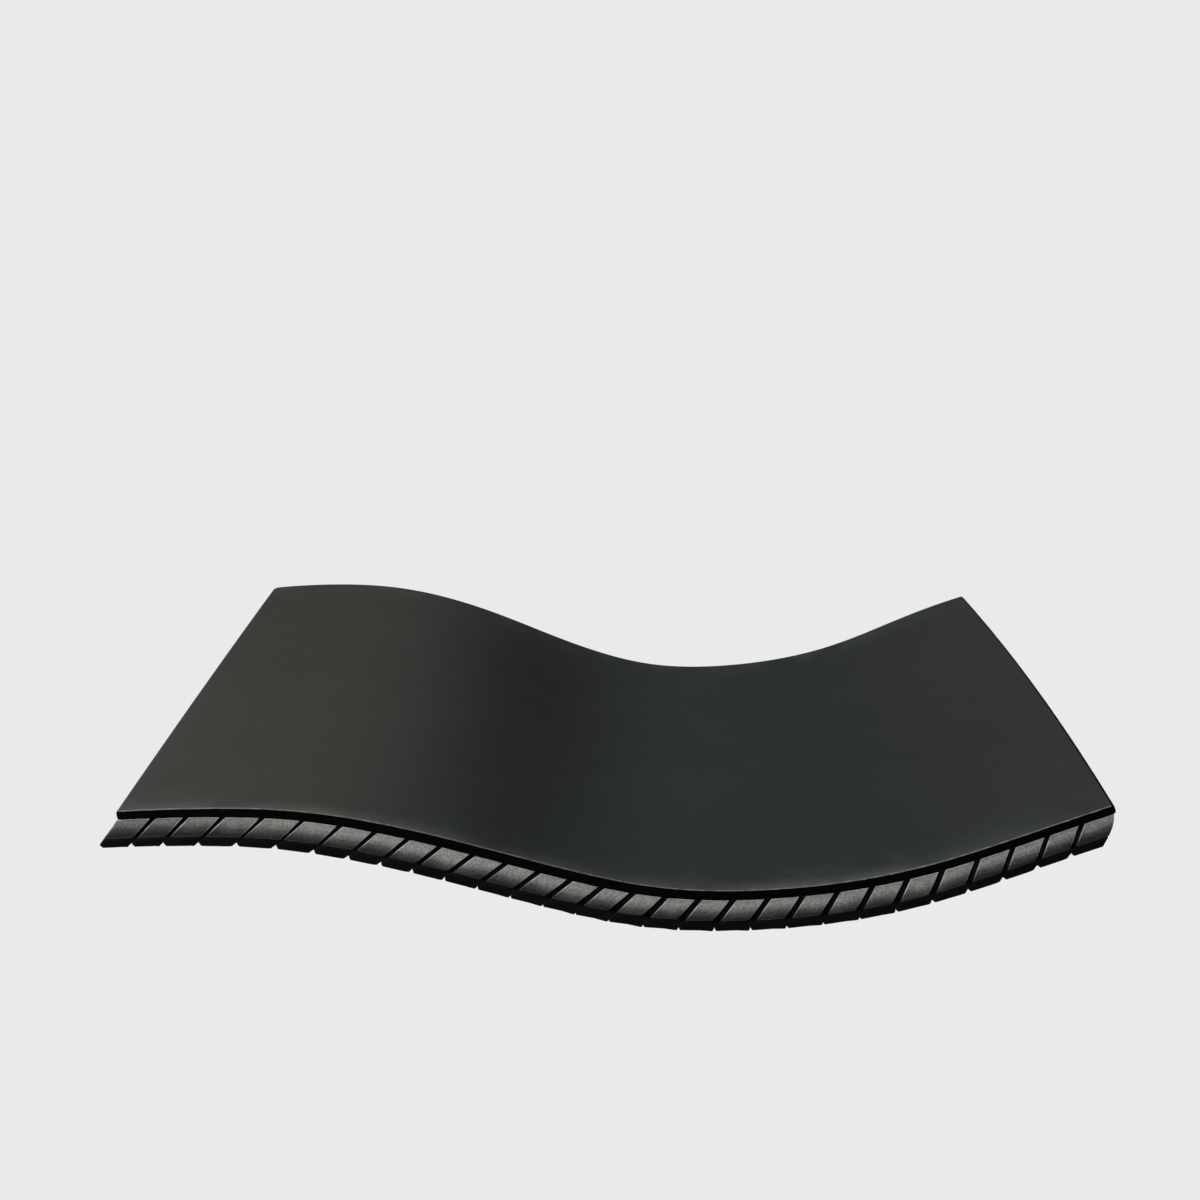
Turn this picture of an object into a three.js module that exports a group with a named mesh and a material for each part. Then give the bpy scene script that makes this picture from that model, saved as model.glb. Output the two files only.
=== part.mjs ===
// Flexible slatted wave board for foot, ankle and balance exercise.
//
// A smooth deck sheet lies over a thin bendable core. Slats run across the board under the
// core, each with a rubber tread strip below it. Slanted gaps between the slats let the board
// bend, and here it holds a wave: a crest near the left end, a trough that it stands on right
// of the middle, and a raised right end. The wave is deeper at the rear edge than at the front.
//
// Millimetres. X runs along the board, Y across it with the front edge at -Y, Z is up.
// The origin is the middle of the bounding box in X and Y, at the lowest tread in Z.

import * as THREE from 'three';
import { mergeVertices } from 'three/addons/utils/BufferGeometryUtils.js';

// Board
const BOARD_LENGTH = 760;        // distances along the deck run from 0 to this, left to right
const BOARD_DEPTH = 450;         // front edge to rear edge
const SLAT_COUNT = 29;
const STANDING_SLAT = 18;        // the level slat at the bottom of the trough

// Slope of the deck in degrees, rising towards +X, at evenly spread stations:
// from the left end down to the trough, then from the trough up to the right end.
const FRONT_SLOPES = { left: [4, -0.5, -11, -16, -13.5, 0], right: [10.5, 21.5, 22] };
const REAR_SLOPES = { left: [6, -2, -15.5, -23, -17, 0], right: [12, 25, 19] };

// Slat widths from left to right, at evenly spread places. They are scaled to fill the board.
const SLAT_WIDTHS = [23.5, 31, 25.5, 26, 24, 26, 26, 27, 26];

// Layers, as depths below the deck's top face where the thickness share is 1
const DECK_THICKNESS = 7.6;
const CORE_TOP = 8;
const CORE_BOTTOM = 9.4;
const SLAT_TOP = 8.2;
const CHANNEL_FLOOR = 10;        // shallow channel across the slats that the core lies in
const SLAT_BOTTOM = 21;
const TREAD_TOP = 21.4;
const TREAD_BOTTOM = 29.7;

// What the depths are multiplied by, from left to right at evenly spread places.
// The board is thickest left of its middle.
const THICKNESS_SHARES = [0.97, 1.05, 1.16, 1.175, 1.17, 1.13, 1.1, 1.02, 0.98];

// Degrees that the gaps lean from the deck's normal, from left to right at evenly spread places
const GAP_SLANTS = [48, 47, 40, 40.5, 41.5, 41.5, 41.5, 42.5, 43.5];

// Slats and treads
const SLAT_GAP = 4.7;            // along the deck
const GAP_CENTRE_DEPTH = 7.6;    // true depth at which a gap is centred between its two slats
const LEFT_END_SLANT = 40;       // the outer side of the first slat
const RIGHT_END_SLANT = 36;      // the outer side of the last slat
const SLAT_FACE_SLOPE = 24;      // degrees the front and rear faces lean out, going down
const SLAT_TOP_INSET = 1.2;      // slat top edge behind the deck's edge
const LEFT_END_INSET = -4.6;     // first slat's outer side inside distance 0; negative is past it
const RIGHT_END_INSET = 1.5;     // last slat's outer side inside distance BOARD_LENGTH
const TREAD_EDGE_TUCK = 1.8;     // how far the tread's front and rear faces tuck in, going down
const TREAD_SHOULDER = 0.6;      // where the left corner's chamfer starts, as a share of the height
const TREAD_CHAMFER = 1.7;       // width of that chamfer

// Deck and core outline
const LEFT_EDGE_REACH = 4.3;     // the deck's left end past distance 0
const LEFT_EDGE_BOW = 1.2;       // how far the end edges bulge outward at mid-depth
const RIGHT_EDGE_BOW = 5.5;
const REAR_LEFT_RADIUS = 5;
const CORNER_RADIUS = 1.5;
const CORE_END_INSET = 12;
const CORE_HALF_DEPTH = 200;
const CHANNEL_CLEARANCE = 4.5;   // core edge to the top of the channel's sloping wall
const CHANNEL_WALL_RUN = 1.5;

// Mesh density
const SLOPE_STEPS = 480;
const DECK_STEPS_PER_SLAT = 2;
const ACROSS_SPANS = 4;

const radians = THREE.MathUtils.degToRad;
const HALF_DEPTH = BOARD_DEPTH / 2;
const SLAT_FACE_RUN = Math.tan(radians(SLAT_FACE_SLOPE));
const SHOULDER_Y = HALF_DEPTH - SLAT_TOP_INSET + (SLAT_BOTTOM - SLAT_TOP) * SLAT_FACE_RUN;

const deckMaterial = new THREE.MeshStandardMaterial({ color: 0x35382f, roughness: 0.45, metalness: 0 });
const coreMaterial = new THREE.MeshStandardMaterial({ color: 0x8c8f92, roughness: 0.4, metalness: 1 });
const slatMaterial = new THREE.MeshStandardMaterial({ color: 0x5c605c, roughness: 0.85, metalness: 0 });
const treadMaterial = new THREE.MeshStandardMaterial({ color: 0x0c1414, roughness: 0.7, metalness: 0 });

// ---- slat layout along the deck ----

// A smooth value at share t of the way through evenly spread knots.
function smoothValue(knots, t) {
  const points = knots.map((value, i) => new THREE.Vector2(i, value));
  return new THREE.SplineCurve(points).getPoint(t).y;
}

// A smooth value at distance s along the deck.
function valueAlong(knots, s) {
  return smoothValue(knots, THREE.MathUtils.clamp(s / BOARD_LENGTH, 0, 1));
}

// What layer depths are multiplied by at distance s.
function thicknessShare(s) {
  return valueAlong(THICKNESS_SHARES, s);
}

// Start, end and middle of each slat, as distances along the deck from its left end.
function layOutSlats() {
  const widths = [];
  for (let i = 0; i < SLAT_COUNT; i += 1) widths.push(smoothValue(SLAT_WIDTHS, i / (SLAT_COUNT - 1)));
  const scale = BOARD_LENGTH / widths.reduce((sum, width) => sum + width, 0);
  let start = 0;
  return widths.map((width) => {
    const end = start + width * scale;
    const slat = { start, end, middle: (start + end) / 2 };
    start = end;
    return slat;
  });
}

const slats = layOutSlats();
const TROUGH = slats[STANDING_SLAT - 1].middle;

// ---- the deck's two long edges ----

// Adds up short steps of an edge whose slope is given, so that its length stays BOARD_LENGTH.
// x and z are measured from the bottom of the trough.
function traceEdge({ left, right }) {
  const knots = left.map((slope, i) => new THREE.Vector2((TROUGH * i) / (left.length - 1), slope));
  right.forEach((slope, i) => {
    knots.push(new THREE.Vector2(TROUGH + ((BOARD_LENGTH - TROUGH) * (i + 1)) / right.length, slope));
  });
  const curve = new THREE.SplineCurve(knots);
  const samples = [];
  let last = { s: 0, x: 0, z: 0, slope: radians(left[0]) };
  for (let i = 0; i <= SLOPE_STEPS; i += 1) {
    const knot = curve.getPoint(i / SLOPE_STEPS);
    const slope = radians(knot.y);
    const step = knot.x - last.s;
    const middle = (slope + last.slope) / 2;
    last = { s: knot.x, x: last.x + step * Math.cos(middle), z: last.z + step * Math.sin(middle), slope };
    samples.push(last);
  }
  const trough = sampleAt(samples, TROUGH);
  return samples.map(({ s, x, z, slope }) => ({ s, x: x - trough.x, z: z - trough.z, slope }));
}

// The edge at distance s. Past either end it goes straight on.
function sampleAt(samples, s) {
  let i = 1;
  while (i < samples.length - 1 && samples[i].s < s) i += 1;
  const a = samples[i - 1];
  const b = samples[i];
  const beyond = s < samples[0].s || s > b.s;
  const from = s > b.s ? b : a;
  if (beyond) {
    const reach = s - from.s;
    return {
      x: from.x + reach * Math.cos(from.slope),
      z: from.z + reach * Math.sin(from.slope),
      slope: from.slope,
    };
  }
  const share = (s - a.s) / (b.s - a.s);
  return {
    x: a.x + (b.x - a.x) * share,
    z: a.z + (b.z - a.z) * share,
    slope: a.slope + (b.slope - a.slope) * share,
  };
}

const frontEdge = traceEdge(FRONT_SLOPES);
const rearEdge = traceEdge(REAR_SLOPES);

// A point t along the deck from where an edge is at distance s, at layer depth n.
function edgePoint(edge, s, t, n) {
  const { x, z, slope } = sampleAt(edge, s);
  const depth = n * thicknessShare(s);
  return new THREE.Vector2(
    x + t * Math.cos(slope) + depth * Math.sin(slope),
    z + t * Math.sin(slope) - depth * Math.cos(slope),
  );
}

// The same, at any y: straight lines join the front section to the rear one.
function boardPoint(s, t, n, y) {
  const front = edgePoint(frontEdge, s, t, n);
  const rear = edgePoint(rearEdge, s, t, n);
  const across = (y + HALF_DEPTH) / BOARD_DEPTH;
  const point = front.lerp(rear, across);
  return new THREE.Vector3(point.x, y, point.y);
}

// ---- closed meshes ----

function closedGeometry(points, faces) {
  const geometry = new THREE.BufferGeometry().setFromPoints(points);
  geometry.setIndex(faces.flat());
  return mergeVertices(geometry);
}

// Triangles that close a ring: a fan for a compact section, a strip for a flat one.
function fanCap(count) {
  const triangles = [];
  for (let i = 1; i < count - 1; i += 1) triangles.push([0, i, i + 1]);
  return triangles;
}

function stripCap(count) {
  const triangles = [];
  for (let i = 0; i < count / 2 - 1; i += 1) {
    const opposite = count - 1 - i;
    triangles.push([i, i + 1, opposite - 1], [i, opposite - 1, opposite]);
  }
  return triangles;
}

// A solid through a row of rings, each with the same number of points, capped at both ends.
// Seen from the first ring's side, a ring's points go clockwise.
function solidThroughRings(rings, cap) {
  const count = rings[0].length;
  const last = (rings.length - 1) * count;
  const faces = [];
  for (let r = 0; r < rings.length - 1; r += 1) {
    for (let i = 0; i < count; i += 1) {
      const a = r * count + i;
      const b = r * count + ((i + 1) % count);
      faces.push([a, b, b + count], [a, b + count, a + count]);
    }
  }
  cap.forEach(([a, b, c]) => faces.push([a, c, b], [last + a, last + b, last + c]));
  return closedGeometry(rings.flat(), faces);
}

// A sheet from columns along the board, each a list of {top, bottom} from front to rear.
function sheetThroughColumns(columns) {
  const rings = columns.map((column) => [
    ...column.map(({ bottom }) => bottom),
    ...column.map(({ top }) => top).reverse(),
  ]);
  return solidThroughRings(rings, stripCap(rings[0].length));
}

// ---- deck and core ----

// How far a rounded corner cuts in at distance d from the edge.
function cornerCut(radius, d) {
  return d >= radius ? 0 : radius - Math.sqrt(radius * radius - (radius - d) ** 2);
}

// The y values of the deck's rows: close together round the corners, evenly spread between.
function deckRows() {
  const corner = [0, 0.15, 0.5, 1];
  const rows = corner.map((share) => -HALF_DEPTH + share * CORNER_RADIUS);
  for (let i = 1; i < ACROSS_SPANS; i += 1) rows.push(-HALF_DEPTH + (BOARD_DEPTH * i) / ACROSS_SPANS);
  corner.reverse().forEach((share) => rows.push(HALF_DEPTH - share * REAR_LEFT_RADIUS));
  return rows;
}

// Where the deck's end edges are at y, bowed and with rounded corners.
function deckEnds(y) {
  const bow = 1 - (y / HALF_DEPTH) ** 2;
  const fromFront = HALF_DEPTH + y;
  const fromRear = HALF_DEPTH - y;
  const frontCut = cornerCut(CORNER_RADIUS, fromFront);
  const rearCut = cornerCut(CORNER_RADIUS, fromRear);
  return {
    left: -LEFT_EDGE_REACH - LEFT_EDGE_BOW * bow + frontCut + cornerCut(REAR_LEFT_RADIUS, fromRear),
    right: BOARD_LENGTH + RIGHT_EDGE_BOW * bow - frontCut - rearCut,
  };
}

function makeDeck() {
  const rows = deckRows();
  const steps = SLAT_COUNT * DECK_STEPS_PER_SLAT;
  const columns = [];
  for (let i = 0; i <= steps; i += 1) {
    columns.push(rows.map((y) => {
      const { left, right } = deckEnds(y);
      const s = left + ((right - left) * i) / steps;
      return { top: boardPoint(s, 0, 0, y), bottom: boardPoint(s, 0, DECK_THICKNESS, y) };
    }));
  }
  return sheetThroughColumns(columns);
}

function makeCore() {
  const steps = SLAT_COUNT * DECK_STEPS_PER_SLAT;
  const columns = [];
  for (let i = 0; i <= steps; i += 1) {
    const s = CORE_END_INSET + ((BOARD_LENGTH - 2 * CORE_END_INSET) * i) / steps;
    const column = [];
    for (let j = 0; j <= ACROSS_SPANS; j += 1) {
      const y = CORE_HALF_DEPTH * ((2 * j) / ACROSS_SPANS - 1);
      column.push({ top: boardPoint(s, 0, CORE_TOP, y), bottom: boardPoint(s, 0, CORE_BOTTOM, y) });
    }
    columns.push(column);
  }
  return sheetThroughColumns(columns);
}

// ---- slats and treads ----

// The left and right sides of slat i, as distances from its middle at layer depth n.
function slatSides(i, n) {
  const { start, end, middle } = slats[i];
  const isFirst = i === 0;
  const isLast = i === SLAT_COUNT - 1;
  const drop = n * thicknessShare(middle) - GAP_CENTRE_DEPTH;
  const leftSlant = isFirst ? LEFT_END_SLANT : valueAlong(GAP_SLANTS, start);
  const rightSlant = isLast ? RIGHT_END_SLANT : valueAlong(GAP_SLANTS, end);
  const leftTop = start - middle + (isFirst ? LEFT_END_INSET : SLAT_GAP / 2);
  const rightTop = end - middle - (isLast ? RIGHT_END_INSET : SLAT_GAP / 2);
  return {
    left: leftTop - drop * Math.tan(radians(leftSlant)),
    right: rightTop - drop * Math.tan(radians(rightSlant)),
  };
}

// y of the front face (side -1) or rear face (side 1) of a slat at depth n.
function slatFaceY(side, n) {
  return side * (HALF_DEPTH - SLAT_TOP_INSET + (n - SLAT_TOP) * SLAT_FACE_RUN);
}

// y of the front or rear face of a tread at depth n.
function treadFaceY(side, n) {
  const down = (n - TREAD_TOP) / (TREAD_BOTTOM - TREAD_TOP);
  return side * (SHOULDER_Y - down * TREAD_EDGE_TUCK);
}

// Stations between the end faces: the channel's two walls, and even steps between them.
function slatStations() {
  const wallTop = CORE_HALF_DEPTH + CHANNEL_CLEARANCE;
  const wallFoot = wallTop - CHANNEL_WALL_RUN;
  const stations = [{ y: -wallTop, top: SLAT_TOP }];
  for (let i = 0; i <= ACROSS_SPANS; i += 1) {
    stations.push({ y: wallFoot * ((2 * i) / ACROSS_SPANS - 1), top: CHANNEL_FLOOR });
  }
  stations.push({ y: wallTop, top: SLAT_TOP });
  return stations;
}

// Section corners of a slat whose top is at the given depth: [t, n] from its middle.
function slatSection(i, top) {
  const upper = slatSides(i, top);
  const lower = slatSides(i, SLAT_BOTTOM);
  return [[upper.left, top], [upper.right, top], [lower.right, SLAT_BOTTOM], [lower.left, SLAT_BOTTOM]];
}

// Section of a tread: its sides carry on the slat's, and the left one is chamfered at the foot.
function treadSection(i) {
  const top = slatSides(i, TREAD_TOP);
  const shoulderDepth = TREAD_TOP + TREAD_SHOULDER * (TREAD_BOTTOM - TREAD_TOP);
  const shoulder = slatSides(i, shoulderDepth);
  const foot = slatSides(i, TREAD_BOTTOM);
  return [
    [top.left, TREAD_TOP],
    [top.right, TREAD_TOP],
    [shoulder.right, shoulderDepth],
    [foot.right, TREAD_BOTTOM],
    [shoulder.left + TREAD_CHAMFER, TREAD_BOTTOM],
    [shoulder.left, shoulderDepth],
  ];
}

// Places a section's corners across the board, at a fixed y or where faceY puts each corner.
function placeSection(i, section, yOf) {
  return section.map(([t, n]) => boardPoint(slats[i].middle, t, n, yOf(n)));
}

function makeSlat(i) {
  const outer = slatSection(i, SLAT_TOP);
  return solidThroughRings([
    placeSection(i, outer, (n) => slatFaceY(-1, n)),
    ...slatStations().map(({ y, top }) => placeSection(i, slatSection(i, top), () => y)),
    placeSection(i, outer, (n) => slatFaceY(1, n)),
  ], fanCap(outer.length));
}

function makeTread(i) {
  const section = treadSection(i);
  const rings = [placeSection(i, section, (n) => treadFaceY(-1, n))];
  for (let j = 0; j <= ACROSS_SPANS; j += 1) {
    const y = CORE_HALF_DEPTH * ((2 * j) / ACROSS_SPANS - 1);
    rings.push(placeSection(i, section, () => y));
  }
  rings.push(placeSection(i, section, (n) => treadFaceY(1, n)));
  return solidThroughRings(rings, fanCap(section.length));
}

// ---- hinge lines ----

// The board bends on the core's middle plane, under each gap between two slats.
function hingeLine(i) {
  const depth = (CORE_TOP + CORE_BOTTOM) / 2;
  const front = boardPoint(slats[i].end, 0, depth, -HALF_DEPTH);
  const rear = boardPoint(slats[i].end, 0, depth, HALF_DEPTH);
  return { left: i + 1, right: i + 2, front, rear };
}

// ---- the board ----

function named(name, geometry, material) {
  const mesh = new THREE.Mesh(geometry, material);
  mesh.name = name;
  return mesh;
}

const board = new THREE.Group();
board.add(named('deck_sheet', makeDeck(), deckMaterial));
board.add(named('bending_core', makeCore(), coreMaterial));
for (let i = 0; i < SLAT_COUNT; i += 1) {
  const number = String(i + 1).padStart(2, '0');
  board.add(named(`slat_${number}`, makeSlat(i), slatMaterial));
  board.add(named(`tread_${number}`, makeTread(i), treadMaterial));
}

const box = new THREE.Box3().setFromObject(board);
const middle = box.getCenter(new THREE.Vector3());
board.position.set(-middle.x, -middle.y, -box.min.z);
board.userData.hingeLines = slats.slice(0, -1).map((_, i) => hingeLine(i));
board.updateMatrixWorld(true);

export default board;
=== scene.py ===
import math

import bpy
import numpy as np
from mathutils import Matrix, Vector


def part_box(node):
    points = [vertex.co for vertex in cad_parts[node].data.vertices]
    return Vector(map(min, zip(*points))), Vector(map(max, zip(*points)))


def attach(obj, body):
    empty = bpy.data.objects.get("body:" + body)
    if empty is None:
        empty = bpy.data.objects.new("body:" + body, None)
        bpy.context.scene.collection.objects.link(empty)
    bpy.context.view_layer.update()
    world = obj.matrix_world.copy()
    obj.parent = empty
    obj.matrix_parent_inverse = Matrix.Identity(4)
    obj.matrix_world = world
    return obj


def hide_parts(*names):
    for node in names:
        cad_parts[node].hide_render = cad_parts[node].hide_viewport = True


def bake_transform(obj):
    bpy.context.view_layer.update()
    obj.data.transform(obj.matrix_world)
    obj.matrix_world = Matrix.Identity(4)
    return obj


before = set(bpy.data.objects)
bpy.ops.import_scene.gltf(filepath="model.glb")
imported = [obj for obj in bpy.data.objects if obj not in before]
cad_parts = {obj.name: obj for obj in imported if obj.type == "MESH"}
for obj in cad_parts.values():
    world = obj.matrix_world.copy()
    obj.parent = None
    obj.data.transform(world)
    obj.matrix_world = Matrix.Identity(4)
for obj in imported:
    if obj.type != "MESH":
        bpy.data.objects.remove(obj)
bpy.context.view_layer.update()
scene = bpy.context.scene

# ---- sizes shared with the CAD, in millimetres and degrees ----

BOARD_LENGTH = 760
BOARD_DEPTH = 450
SLAT_COUNT = 29
STANDING_SLAT = 18
FRONT_SLOPES = ([4, -0.5, -11, -16, -13.5, 0], [10.5, 21.5, 22])
REAR_SLOPES = ([6, -2, -15.5, -23, -17, 0], [12, 25, 19])
SLAT_WIDTHS = [23.5, 31, 25.5, 26, 24, 26, 26, 27, 26]
DECK_THICKNESS = 7.6
CORE_TOP = 8
CORE_BOTTOM = 9.4
SLAT_TOP = 8.2
CHANNEL_FLOOR = 10
SLAT_BOTTOM = 21
TREAD_TOP = 21.4
TREAD_BOTTOM = 29.7
THICKNESS_SHARES = [0.97, 1.05, 1.16, 1.175, 1.17, 1.13, 1.1, 1.02, 0.98]
SLAT_GAP = 4.7
GAP_CENTRE_DEPTH = 7.6
GAP_SLANTS = [48, 47, 40, 40.5, 41.5, 41.5, 41.5, 42.5, 43.5]
LEFT_END_SLANT = 40
RIGHT_END_SLANT = 36
SLAT_FACE_SLOPE = 24
SLAT_TOP_INSET = 1.2
LEFT_END_INSET = -4.6
RIGHT_END_INSET = 1.5
TREAD_EDGE_TUCK = 1.8
TREAD_SHOULDER = 0.6
TREAD_CHAMFER = 1.7
LEFT_EDGE_REACH = 4.3
LEFT_EDGE_BOW = 1.2
RIGHT_EDGE_BOW = 5.5
REAR_LEFT_RADIUS = 5
CORNER_RADIUS = 1.5
CORE_END_INSET = 12
CORE_HALF_DEPTH = 200
CHANNEL_HALF_DEPTH = 204.5
CHANNEL_WALL_RUN = 1.5
SLOPE_STEPS = 480

# ---- finer shapes of the visual model, in millimetres and degrees ----

HALF_DEPTH = BOARD_DEPTH / 2

# Deck
DECK_TOP_ROLL = 0.7          # rounding of the deck's upper long edges
DECK_BOTTOM_ROLL = 0.7
NOSE_ROLL = 2.6              # rounding of the deck's two end edges
NOSE_ROLL_BELOW = 0.8        # share of it on the underside
NOSE_COLUMNS = [0, 0.12, 0.45, 1.0, 1.8, 2.6, 4.0]   # mesh columns, counted in from each end
HIGHLIGHT_RIM_WIDTH = 1.2              # painted highlight line along the front edge
END_EDGE_WIDTH = 1.5         # black line along the two ends
SIDE_DEPTH = 0.525           # the rounded edges are black below this depth
STRIP_COLUMNS = 8
CORE_COLUMNS = 4
CORE_ROWS = 7

# Slats
FACE_LEVELS = 4              # mesh rows down a slat's sides
ACROSS_STATIONS = 7          # sections of a slat or tread between its ends
SLAT_EDGE = 0.45             # rounding round a slat's end face
END_LIP = 8                  # closes the channel at the board's two ends
RIGHT_END_BULGE = 1.5        # of the last slat's outer side

# Treads and the webs between them
TREAD_EDGE = 0.5             # rounding round a tread's end face
TREAD_RADII = [0.5, 0.5, 0.3, 1.0, 0.8]   # top left, top right, right foot, left foot, shoulder
LEAST_RADIUS = 0.25
WEB_CLEARANCE = 0.2          # between a web and the treads beside it
WEB_FOOT_RISE = 0.05         # from the treads' feet up to the web's
WEB_LIP = [(1.4, 0), (0.5, 0.3), (0, 1.1)]   # rounding beside the groove, as run and rise
NOTCH_WIDTH = 3.4            # the groove between two treads, at the ground
NOTCH_HEIGHT = 4.4

# Changes along the board, from left to right at evenly spread places
DECK_PAINTED_LIGHT = [0.48, 0.72, 1.0, 0.38, 0.92, 0.63, 0.56, 0.51, 0.67]   # painted light and shade: how pale the deck is painted at each place
DECK_WARMTH = [1, 1, 0.75, 0, 0, 0, 0, 0.5, 0.8]                     # from green to warm grey
FRONT_SCUFFS_AND_HIGHLIGHT = [0.3, 1, 1, 0.45, 0.7, 1, 0.95, 0.15, 0.1]            # wear and painted highlight along its front edge
FACE_PAINTED_LIGHT = [0.44, 0.74, 1, 1, 0.93, 0.91, 0.9, 0.87, 0.78]         # painted light and shade on the slats' end faces at each place
FACE_SHADES = [0.5, 0.4, 0, 0, 0, 0, 0, 0.2, 0.4]                    # how early their painted shade starts
NOTCH_SHARES = [1.2, 1.2, 1.1, 0.6, 0.25, 0.6, 0.4, 1.1, 1.25]       # how open the grooves are

# Where the surfaces are worn, and where painted highlights and painted shade fall
RUBBED_WIDTH = 35            # along the deck's long edges
SCUFF_AND_HIGHLIGHT_WIDTH = 19           # scuffs and a painted highlight, along its front edge
FACE_DARKENS = (12, 16.5)    # layer depths over which painted shade darkens a slat's end face
FACE_BLACKENS = (15, 20)     # and then turns it black
FACE_WANDER = 6              # how far those depths wander
EARLY_SHADE = 3              # how much sooner they come where FACE_SHADES is 1
# depths over which painted shade turns the pale edge line black
EDGE_BLACKENS = (13.5, 19.5)


def catmull_rom(points, share):
    """A point at share of the way along a uniform spline through the points."""
    count = len(points)
    place = (count - 1) * share
    i = min(int(place), count - 2)
    w = place - i
    p0 = points[max(i - 1, 0)]
    p1 = points[i]
    p2 = points[i + 1]
    p3 = points[min(i + 2, count - 1)]
    v0 = (p2 - p0) / 2
    v1 = (p3 - p1) / 2
    cubic = 2 * p1 - 2 * p2 + v0 + v1
    square = -3 * p1 + 3 * p2 - 2 * v0 - v1
    return cubic * w**3 + square * w**2 + v0 * w + p1


def smooth_value(knots, s):
    """A smooth value at distance s along the board, through evenly spread knots."""
    grid = np.linspace(0, 1, 121)
    values = [catmull_rom(np.array(knots, float), share) for share in grid]
    return np.interp(np.asarray(s, float) / BOARD_LENGTH, grid, values)


def thickness_share(s):
    """What layer depths are multiplied by at s."""
    return smooth_value(THICKNESS_SHARES, s)


def lay_out_slats():
    """Start and end of each slat along the deck."""
    knots = np.array(SLAT_WIDTHS, float)
    widths = np.array([catmull_rom(knots, i / (SLAT_COUNT - 1)) for i in range(SLAT_COUNT)])
    ends = np.cumsum(widths) * BOARD_LENGTH / widths.sum()
    return np.concatenate([[0], ends[:-1]]), ends


STARTS, ENDS = lay_out_slats()
MIDDLES = (STARTS + ENDS) / 2
TROUGH = MIDDLES[STANDING_SLAT - 1]


class Edge:
    """One long edge of the deck, from its slopes. x and z are measured from the trough."""

    def __init__(self, slopes):
        left, right = slopes
        knots = [(TROUGH * i / (len(left) - 1), v) for i, v in enumerate(left)]
        right_run = BOARD_LENGTH - TROUGH
        knots += [(TROUGH + right_run * (i + 1) / len(right), v) for i, v in enumerate(right)]
        knots = np.array(knots, float)
        samples = np.array([catmull_rom(knots, i / SLOPE_STEPS) for i in range(SLOPE_STEPS + 1)])
        self.s = samples[:, 0]
        self.slope = np.radians(samples[:, 1])
        steps = np.diff(self.s)
        between = (self.slope[1:] + self.slope[:-1]) / 2
        x = np.concatenate([[0], np.cumsum(steps * np.cos(between))])
        z = np.concatenate([[0], np.cumsum(steps * np.sin(between))])
        self.x = x - np.interp(TROUGH, self.s, x)
        self.z = z - np.interp(TROUGH, self.s, z)

    def at(self, s):
        """x, z and slope at s. Past either end the edge goes straight on."""
        inside = np.clip(s, self.s[0], self.s[-1])
        slope = np.interp(inside, self.s, self.slope)
        reach = s - inside
        x = np.interp(inside, self.s, self.x) + reach * np.cos(slope)
        z = np.interp(inside, self.s, self.z) + reach * np.sin(slope)
        return x, z, slope


FRONT = Edge(FRONT_SLOPES)
REAR = Edge(REAR_SLOPES)


def trough_point(s, t, n, y):
    """Points in mm from the trough: from distance s on the deck, t along it and n down, at y."""
    s, t, n, y = np.broadcast_arrays(*[np.asarray(v, float) for v in (s, t, n, y)])
    depth = n * thickness_share(s)
    places = []
    for edge in (FRONT, REAR):
        x, z, slope = edge.at(s)
        run, rise = np.cos(slope), np.sin(slope)
        places.append((x + t * run + depth * rise, z + t * rise - depth * run))
    across = (y + HALF_DEPTH) / BOARD_DEPTH
    (fx, fz), (rx, rz) = places
    return np.stack([fx + (rx - fx) * across, y, fz + (rz - fz) * across], -1)


def slat_sides(i, n):
    """Left and right sides of slat i at depth n, from its middle."""
    first, last = i == 0, i == SLAT_COUNT - 1
    left_top = STARTS[i] - MIDDLES[i] + (LEFT_END_INSET if first else SLAT_GAP / 2)
    right_top = ENDS[i] - MIDDLES[i] - (RIGHT_END_INSET if last else SLAT_GAP / 2)
    drop = np.asarray(n, float) * thickness_share(MIDDLES[i]) - GAP_CENTRE_DEPTH
    left_slant = math.radians(LEFT_END_SLANT if first else smooth_value(GAP_SLANTS, STARTS[i]))
    right_slant = math.radians(RIGHT_END_SLANT if last else smooth_value(GAP_SLANTS, ENDS[i]))
    return left_top - drop * math.tan(left_slant), right_top - drop * math.tan(right_slant)


def find_shift():
    """From the trough to the CAD's origin, in mm, read off the level slat and its tread."""
    standing = STANDING_SLAT - 1
    slat_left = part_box(f"slat_{STANDING_SLAT:02d}")[0].x * 1000
    tread_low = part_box(f"tread_{STANDING_SLAT:02d}")[0].z * 1000
    depth = TREAD_BOTTOM * thickness_share(MIDDLES[standing])
    return np.array([slat_left - slat_sides(standing, SLAT_BOTTOM)[0], 0, tread_low + depth])


SHIFT = find_shift()


def board_point(s, t, n, y):
    """The same points in metres, in the CAD's frame."""
    return (trough_point(s, t, n, y) + SHIFT) / 1000


# ---- materials ----

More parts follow.
